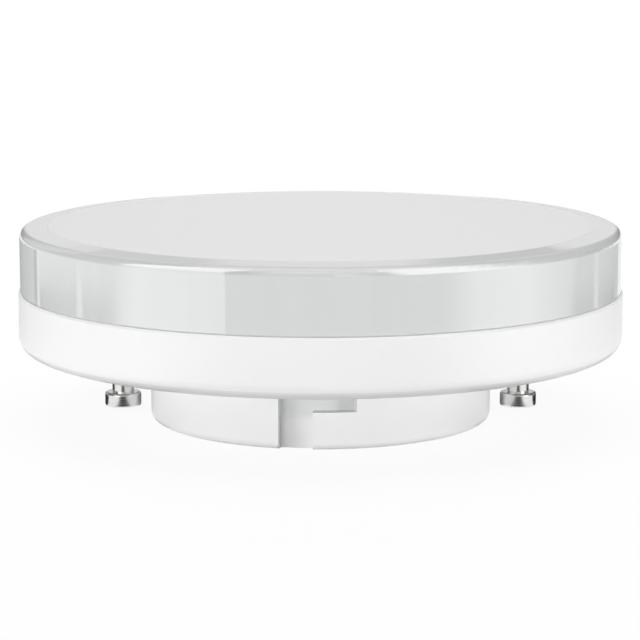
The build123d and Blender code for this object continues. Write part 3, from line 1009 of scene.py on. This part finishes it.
@dataclass
class LightEngine(SubAssembly):
    """Heat spreader, LED board, LEDs and screws, with the phosphor that fills the LEDs' windows.

    Attributes:
        rings: Radius, number of LEDs and angle of the first LED of each ring.
        air: Room left between the phosphor and the window.
        dome_inset: How far each of a dome's steps lies inside the one below it.
        dome_rises: Height of each of a dome's steps.
    """

    rings: tuple[tuple[float, int, float], ...] = ((24.0, 18, 100.0), (12.5, 9, 110.0))
    window_radius: float = 1.15
    window_depth: float = 0.15
    air: float = 0.008
    dome_sides: int = 28
    dome_inset: float = 0.36
    dome_rises: tuple[float, ...] = (0.042, 0.018)
    sharp: float = 40.0

    def finishes(self) -> dict[str, Finish]:
        """Says how the plates, the LEDs and the screws look.

        Returns:
            Node name to finish.
        """
        return {
            "heat_spreader": ROLLED_ALUMINIUM,
            "led_board": LedMask(),
            "led_packages": LED_RESIN,
            "board_screws": ZINC_PLATE,
        }

    def window_places(self) -> Spots:
        """Finds the middle of each window's floor.

        Returns:
            Place in metres and turn about Z of each window.
        """
        floor = box_of("led_packages")[1].z - self.window_depth
        places = []
        for radius, count, first in self.rings:
            for number in range(count):
                turn = math.radians(first) + FULL_TURN * number / count
                places.append((metres((radius * math.cos(turn), radius * math.sin(turn), floor)), turn))
        return places

    def build(self) -> None:
        """Models one low dome of phosphor and copies it into every window."""
        bpy.ops.mesh.primitive_circle_add(
            vertices=self.dome_sides,
            radius=(self.window_radius - self.air) * MM,
            fill_type="NGON",
            location=(0.0, 0.0, self.air * MM),
        )
        dome = name_new("phosphor_dome")
        settle(dome)
        start_editing()
        wall = self.window_depth - 2 * self.air
        bpy.ops.mesh.extrude_region_move(TRANSFORM_OT_translate={"value": (0.0, 0.0, wall * MM)})
        for rise in self.dome_rises:
            bpy.ops.mesh.inset(thickness=self.dome_inset * MM)
            bpy.ops.transform.translate(value=(0.0, 0.0, rise * MM))
        stop_editing(self.sharp)
        self.carry(copy_to(dome, self.window_places(), "phosphor_fills"), "led_package", PHOSPHOR)


@dataclass
class Driver(SubAssembly):
    """Driver board and its components, with the inductor's turns and the solder round the leads.

    Attributes:
        bulk_pitch: Distance between the bulk capacitor's leads.
        output_pitch: Distance between the output capacitor's leads.
        wide_pitch: Distance between the leads of the film capacitor and of the inductor.
        core_gap_radius: Inner radius of the winding.
        layers: Layers of turns, one round the other.
        turns: Turns of a layer.
        lead_run: Distance from a lying body to the middle of its leads' bend.
        chip_foot: How far a chip's feet reach out.
    """

    lead_radius: float = 0.3
    bulk_pitch: float = 2.5
    output_pitch: float = 2.0
    wide_pitch: float = 5.0
    joint: SolderJoint = SolderJoint(hole=0.32, spread=0.80, height=0.62)
    core_gap_radius: float = 2.1
    wire_radius: float = 0.21
    wire_sides: int = 10
    layers: int = 3
    turns: int = 8
    turn_steps: int = 40
    sharp: float = 50.0
    lead_run: float = 1.6
    chip_foot: float = 1.0

    def sleeve(self, node: str, name: str) -> ShrinkSleeve:
        """Fits a capacitor's sleeve to its solid.

        Args:
            node: The capacitor.
            name: Name of the material.

        Returns:
            The finish.
        """
        low, high = box_of(node)
        radius = (high.y - low.y) / 2
        return ShrinkSleeve(
            name,
            base=low.x + self.lead_radius + self.lead_run,
            tip=high.x,
            axis_y=(low.y + high.y) / 2,
            axis_z=low.z + radius,
            radius=radius,
        )

    def compound(self, node: str, name: str) -> MouldingCompound:
        """Fits a chip's moulding compound to its solid.

        Args:
            node: The chip.
            name: Name of the material.

        Returns:
            The finish.
        """
        low, high = box_of(node)
        return MouldingCompound(name, start=low.y + self.chip_foot, end=high.y - self.chip_foot)

    def coat(self) -> ResistorCoat:
        """Fits the resistor's coat and bands to its solid.

        Returns:
            The finish.
        """
        low, high = box_of("fusible_resistor")
        run = self.lead_radius + self.lead_run
        return ResistorCoat(start=low.x + run, end=high.x - run)

    def finishes(self) -> dict[str, Finish]:
        """Says how the board and the components look.

        Returns:
            Node name to finish.
        """
        return {
            "driver_board": DriverMask(),
            "bulk_capacitor": self.sleeve("bulk_capacitor", "bulk_capacitor_sleeve"),
            "output_capacitor": self.sleeve("output_capacitor", "output_capacitor_sleeve"),
            "film_capacitor": DIPPED_EPOXY,
            "inductor_core": FERRITE,
            "inductor_winding": ENAMELLED_COPPER,
            "fusible_resistor": self.coat(),
            "driver_chip": self.compound("driver_chip", "chip_compound"),
            "bridge_rectifier": self.compound("bridge_rectifier", "bridge_compound"),
            "output_diode": self.compound("output_diode", "diode_compound"),
        }

    def lead_places(self) -> Spots:
        """Finds where each lead comes up through the board.

        Returns:
            Place in metres on the board's top, and no turn.
        """
        top = box_of("driver_board")[1].z
        spots = []
        for node, pitch in (("bulk_capacitor", self.bulk_pitch), ("output_capacitor", self.output_pitch)):
            low, high = box_of(node)
            middle = (low.y + high.y) / 2
            spots += [(low.x + self.lead_radius, middle + side * pitch / 2) for side in (-1, 1)]
        for node in ("film_capacitor", "inductor_core"):
            low, high = box_of(node)
            middle = (low + high) / 2
            spots += [(middle.x + side * self.wide_pitch / 2, middle.y) for side in (-1, 1)]
        low, high = box_of("fusible_resistor")
        spots += [(x, (low.y + high.y) / 2) for x in (low.x + self.lead_radius, high.x - self.lead_radius)]
        return [(metres((x, y, top)), 0.0) for x, y in spots]

    def wind_layer(self, radius: float, height: float) -> Piece:
        """Winds one layer of the inductor about the origin.

        Args:
            radius: Radius of the wire's middle line.
            height: Height of the layer.

        Returns:
            The layer, from the origin up.
        """
        bpy.ops.mesh.primitive_circle_add(
            vertices=self.wire_sides,
            radius=self.wire_radius * MM,
            location=metres((radius, 0.0, self.wire_radius)),
            rotation=(math.pi / 2, 0.0, 0.0),
        )
        layer = name_new("winding_layer")
        settle(layer)
        screw = layer.modifiers.new("turns", "SCREW")
        screw.axis = "Z"
        screw.iterations = self.turns
        screw.steps = screw.render_steps = self.turn_steps
        screw.screw_offset = (height - 2 * self.wire_radius) / self.turns * MM
        bpy.ops.object.modifier_apply(modifier=screw.name)
        start_editing()
        bpy.ops.mesh.fill_holes(sides=0)
        stop_editing(self.sharp)
        return layer

    def build(self) -> None:
        """Winds the inductor and solders the leads."""
        low, high = box_of("inductor_winding")
        outer = (high.x - low.x) / 2 - self.wire_radius
        inner = self.core_gap_radius + self.wire_radius
        layers = [
            self.wind_layer(outer + (inner - outer) * number / (self.layers - 1), high.z - low.z)
            for number in range(self.layers)
        ]
        pick(*layers)
        bpy.ops.object.join()
        turns = name_new("winding_turns")
        turns.location = metres(((low.x + high.x) / 2, (low.y + high.y) / 2, low.z))
        settle(turns)
        self.carry(turns, "winding", ENAMELLED_COPPER, "inductor_winding")
        joint = self.joint.build("lead_joint")
        self.carry(copy_to(joint, self.lead_places(), "lead_solder"), "screw", SOLDER)


@dataclass
class Wiring(SubAssembly):
    """The four wires, with the solder that holds them on the boards.

    Attributes:
        led_end_side: Distance from the middle of the lamp from which an output wire's far end counts.
    """

    wire_radius: float = 0.55
    joint: SolderJoint = SolderJoint(hole=0.57, spread=1.15, height=0.70)
    led_end_side: float = 5.5

    def finishes(self) -> dict[str, Finish]:
        """Says how each wire looks.

        Returns:
            Node name to finish.
        """
        white = WireSleeve("pvc_white", Insulation.WHITE.value, "#DAD8D1")
        black, red = (
            WireSleeve(
                name, colour.value, fleck, far_side=self.led_end_side, far_height=box_of("led_board")[1].z
            )
            for name, colour, fleck in (
                ("pvc_black", Insulation.BLACK, "#232324"), ("pvc_red", Insulation.RED, "#9B1E19")
            )
        )
        return {
            "input_wire_left": white,
            "input_wire_right": white,
            "output_wire_negative": black,
            "output_wire_positive": red,
        }

    def landing_places(self) -> Spots:
        """Finds where the wires stand on the two boards.

        Returns:
            Place in metres of each landing, and no turn.
        """
        driver_top, led_face = box_of("driver_board")[1].z, box_of("led_board")[1].z
        places = []
        for node, side in (
            ("input_wire_left", -1), ("input_wire_right", 1),
            ("output_wire_negative", -1), ("output_wire_positive", 1),
        ):
            low, high = box_of(node)
            near, far = sorted((abs(low.x), abs(high.x)))
            places.append((side * (near + self.wire_radius), driver_top))
            if node.startswith("output"):
                places.append((side * (far - self.wire_radius), led_face))
        return [(metres((x, 0.0, z)), 0.0) for x, z in places]

    def build(self) -> None:
        """Solders the wires to the boards."""
        joint = self.joint.build("wire_joint")
        self.carry(copy_to(joint, self.landing_places(), "wire_solder"), "screw", SOLDER)


@dataclass(frozen=True)
class SoftBox:
    """A flat soft lamp, with its power in watts."""

    name: str
    at: Place
    aim: Place
    width: float
    height: float
    power: float

    def build(self) -> Piece:
        """Hangs the lamp up.

        Returns:
            The lamp.
        """
        bpy.ops.object.light_add(type="AREA", location=metres(self.at))
        lamp = name_new(self.name)
        lamp.rotation_euler = (Vector(self.aim) - Vector(self.at)).to_track_quat("-Z", "Y").to_euler()
        lamp.data.shape = "RECTANGLE"
        lamp.data.size = self.width * MM
        lamp.data.size_y = self.height * MM
        lamp.data.energy = self.power
        lamp.visible_glossy = False
        lamp.visible_camera = False
        return lamp


@dataclass(frozen=True)
class Card:
    """A flat card that only gloss shows.

    Attributes:
        corner: Its lower left corner, seen from the lamp.
        along: From there to the lower right corner.
        up: From there to the upper left corner.
        glow: Its brightness, where 1 is white and 0 is black.
        fade_in: Share of its length over which it comes up from clear.
        fade_out: Share of its length over which it goes clear again.
        fade_up: Share of its height over which it goes clear towards the top.
    """

    name: str
    corner: Place
    along: Place
    up: Place
    glow: float
    fade_in: float = 0.0
    fade_out: float = 0.0
    fade_up: float = 0.0

    def build(self) -> Piece:
        """Stands the card up.

        Returns:
            The card.
        """
        bpy.ops.mesh.primitive_plane_add(size=1.0)
        card = name_new(self.name)
        base, along, up = (Vector(v) for v in (self.corner, self.along, self.up))
        corners = (base, base + along, base + up, base + along + up)
        for vertex, corner in zip(card.data.vertices, corners):
            vertex.co = corner * MM
        material = bpy.data.materials.new(self.name)
        canvas = bare_canvas(material)
        light = canvas.add("Emission", {"Strength": self.glow})
        clear = canvas.add("BsdfTransparent")
        spread = canvas.add("UVMap")
        parts = canvas.add("SeparateXYZ", {0: spread}).outputs
        share: Union[float, Node] = 1.0
        for axis, start, fade in (
            ("X", 0.0, self.fade_in), ("X", 1.0, -self.fade_out), ("Y", 1.0, -self.fade_up)
        ):
            if fade:
                ramp = canvas.add(
                    "MapRange",
                    {"Value": parts[axis], "From Min": start, "From Max": start + fade},
                    interpolation_type="SMOOTHSTEP",
                )
                share = canvas.add("Math", {0: share, 1: ramp}, operation="MULTIPLY")
        both = canvas.add("MixShader", {0: share, 1: clear, 2: light})
        canvas.add("OutputMaterial", {"Surface": both})
        card.data.materials.append(material)
        card.visible_camera = False
        card.visible_diffuse = False
        card.visible_transmission = False
        card.visible_shadow = False
        return card


@dataclass
class Studio:
    """A white floor, soft lamps, cards for the gloss and the camera."""

    camera_at: Place = (0.0, -319.68, 67.30)
    camera_pitch: float = 9.682
    focal_length: float = 136.51
    sensor: float = 36.0
    shift: float = -0.0009
    floor_size: float = 9000.0
    floor_colour: str = "#BCBCBC"
    floor_glow: float = 0.85
    near_glow: float = 1.09
    far_glow: float = 1.3
    lit_reach: float = 250.0
    dark_reach: float = 800.0
    air: float = 0.05
    air_colour: str = "#FFFFFF"
    lamps: tuple[SoftBox, ...] = (
        SoftBox("softbox_top", (0, 40, 560), (0, 0, 20), 620, 620, 2.4),
        SoftBox("softbox_back", (0, 520, 330), (0, 0, 15), 700, 300, 1.6),
        SoftBox("softbox_front", (0, -600, 50), (0, 0, 8), 900, 90, 0.95),
        SoftBox("softbox_left", (-555, -225, 60), (0, 0, 8), 260, 110, 1.75),
        SoftBox("softbox_right", (555, -225, 60), (0, 0, 8), 260, 110, 2.15),
        SoftBox("softbox_left_front", (-345, -490, 45), (0, 0, 6), 200, 80, 0.6),
    )
    cards: tuple[Card, ...] = (
        Card("backdrop", (-230, 800, 0), (460, 0, 0), (0, 0, 420), 0.7, fade_in=0.25, fade_out=0.25),
        Card("ceiling", (-300, -420, 560), (600, 0, 0), (0, 640, 0), 1.3, fade_in=0.25, fade_out=0.25),
        Card("flag_back_left", (-150, 790, 235), (105, 0, 0), (0, 0, 100), 0.4, fade_in=0.2, fade_out=0.3),
        Card("flag_back_right", (45, 790, 225), (120, 0, 0), (0, 0, 110), 0.27, fade_in=0.3, fade_out=0.2),
        Card("front_wall", (-450, -800, 0), (900, 0, 0), (0, 0, 500), 0.75, fade_in=0.2, fade_out=0.2),
        Card("backdrop_low", (-230, 795, 0), (460, 0, 0), (0, 0, 215), 0.74, fade_in=0.2, fade_out=0.2),
        Card("front_high", (-280, -480, 240), (560, 0, 0), (0, 60, 350), 1.5, fade_in=0.3, fade_out=0.3),
        Card("back_left", (-620, 330, 60), (320, 320, 0), (0, 0, 460), 0.5, fade_in=0.2, fade_out=0.2),
        Card("strip_left", (-93.9, -37.8, 46), (44, -57.3, 0), (0, 0, 150), 3.4, fade_in=0.1, fade_out=0.1),
        Card("strip_right", (43.8, -97.5, 40), (53.2, 82, 0), (0, 0, 150), 3.5, fade_in=0.15, fade_out=0.5),
        Card("card_left", (-93.9, -37.8, 0), (43, -56.7, 0), (0, 0, 46), 2.0, fade_in=0.3),
        Card("card_right", (62.8, -86, 0), (34.2, 76, 0), (0, 0, 46), 2.0, fade_in=0.3, fade_out=0.45),
        Card("line_left_end", (-84.8, 31.2, 0), (-1.9, -3.2, 0), (0, 0, 17), 1.0),
        Card("line_left", (-97.2, -10.5, 0), (0.1, -4, 0), (0, 0, 17), 1.2, fade_in=0.3, fade_out=0.3),
        Card("line_right", (90.7, 19.4, 0), (-2.2, 4.6, 0), (0, 0, 17), 0.85),
        Card("grey_left_end", (-84.8, 31.2, 0), (36.8, 33, 0), (0, 0, 17), 0.4),
        Card("dark_left_end", (-84.2, 30.9, 0), (18.5, 22.5, 0), (0, 0, 17), 0.0, fade_out=1.0),
        Card("grey_left", (-86.7, 28, 0), (-10.5, -38.5, 0), (0, 0, 17), 0.85, fade_in=0.4),
        Card("shade_left", (-86.2, 27.8, 0), (-10.3, -38, 0), (0, 0, 14), 0.0, fade_up=0.6),
        Card(
            "shade_left_front", (-96.4, -15.3, 0), (6.4, -32.5, 0), (0, 0, 14), 0.0, fade_out=0.5, fade_up=0.6
        ),
        Card("grey_right", (96.9, -6, 0), (-6.4, 25.5, 0), (0, 0, 17), 0.5, fade_in=0.3),
        Card("shade_right", (96.4, -10, 0), (-6, 29, 0), (0, 0, 13), 0.0, fade_in=0.4, fade_up=0.6),
        Card("grey_right_end", (88.6, 24.3, 0), (-21.9, 28.7, 0), (0, 0, 17), 0.5),
        Card("shade_right_end", (88, 24, 0), (-18.5, 25.5, 0), (0, 0, 13), 0.1, fade_up=0.6),
        # Dark sheets on the floor round the pins, which only gloss shows: painted shadow that stands for the
        # pan's shadow on the floor, mirrored in the pins.
        Card("pan_shadow_sheet_left_front", (-31, -70, 0.1), (11, 0, 0), (0, 66, 0), 0.06),
        Card("pan_shadow_sheet_left_back", (-52, 1, 0.1), (36, 0, 0), (0, 44, 0), 0.02),
        Card("pan_shadow_sheet_right_front", (20.5, -70, 0.1), (11, 0, 0), (0, 66, 0), 0.06),
        Card("pan_shadow_sheet_right_back", (16, 1, 0.1), (36, 0, 0), (0, 44, 0), 0.02),
    )

    def lay_floor(self) -> None:
        """Lays a floor that is white to the eye and keeps the lamp's shadow."""
        bpy.ops.mesh.primitive_plane_add(size=self.floor_size * MM)
        floor = name_new("studio_floor")
        material = bpy.data.materials.new("studio_paper")
        canvas = bare_canvas(material)
        paper = canvas.add("BsdfDiffuse", {"Color": linear_colour(self.floor_colour)})
        coordinates = canvas.add("TexCoord").outputs["Object"]
        makeup = canvas.add(
            "MapRange",
            {
                "Value": canvas.add("VectorMath", {0: coordinates}, operation="LENGTH").outputs["Value"],
                "From Min": self.lit_reach * MM,
                "From Max": self.dark_reach * MM,
                "To Min": self.near_glow,
                "To Max": self.far_glow,
            },
        )
        glow = canvas.add("Emission", {"Strength": makeup})
        path = canvas.add("LightPath").outputs
        seen: Source = path["Is Camera Ray"]
        for ray in ("Is Glossy Ray", "Is Transmission Ray"):
            seen = canvas.add("Math", {0: seen, 1: path[ray]}, operation="ADD", use_clamp=True)
        share = canvas.add("Math", {0: seen, 1: self.floor_glow}, operation="MULTIPLY")
        both = canvas.add("MixShader", {0: share, 1: paper, 2: glow})
        canvas.add("OutputMaterial", {"Surface": both})
        floor.data.materials.append(material)

    def fill_air(self) -> None:
        """Fills the studio with even light, which the camera sees as white."""
        world = bpy.data.worlds.new("studio_air")
        canvas = bare_canvas(world)
        seen = canvas.add("LightPath").outputs["Is Camera Ray"]
        level = canvas.add("MapRange", {"Value": seen, "To Min": self.air, "To Max": 1.0})
        sky = canvas.add("Background", {"Color": linear_colour(self.air_colour), "Strength": level})
        canvas.add("OutputWorld", {"Surface": sky})
        bpy.context.scene.world = world

    def set_camera(self) -> None:
        """Puts the camera where the photograph was taken from."""
        bpy.ops.object.camera_add(
            location=metres(self.camera_at), rotation=(math.radians(90 - self.camera_pitch), 0.0, 0.0)
        )
        camera = name_new("camera")
        camera.data.sensor_width = self.sensor
        camera.data.lens = self.focal_length
        camera.data.shift_x = self.shift
        camera.data.clip_start = MM
        bpy.context.scene.camera = camera

    def build(self) -> None:
        """Sets the whole studio up."""
        bpy.ops.object.select_all(action="DESELECT")
        self.lay_floor()
        self.fill_air()
        for stand in (*self.lamps, *self.cards):
            LOG.info("placed %s", stand.build().name)
        self.set_camera()
        bpy.context.scene.view_settings.view_transform = "Standard"


def main() -> None:
    """Builds and dresses the lamp, then sets the studio up round it."""
    logging.basicConfig(level=logging.INFO, format="%(name)s: %(message)s")
    bpy.ops.object.select_all(action="DESELECT")
    for assembly in (Shell(), CapPins(), LightEngine(), Driver(), Wiring()):
        assembly.build()
        assembly.dress()
    Studio().build()


if __name__ == "__main__":
    main()
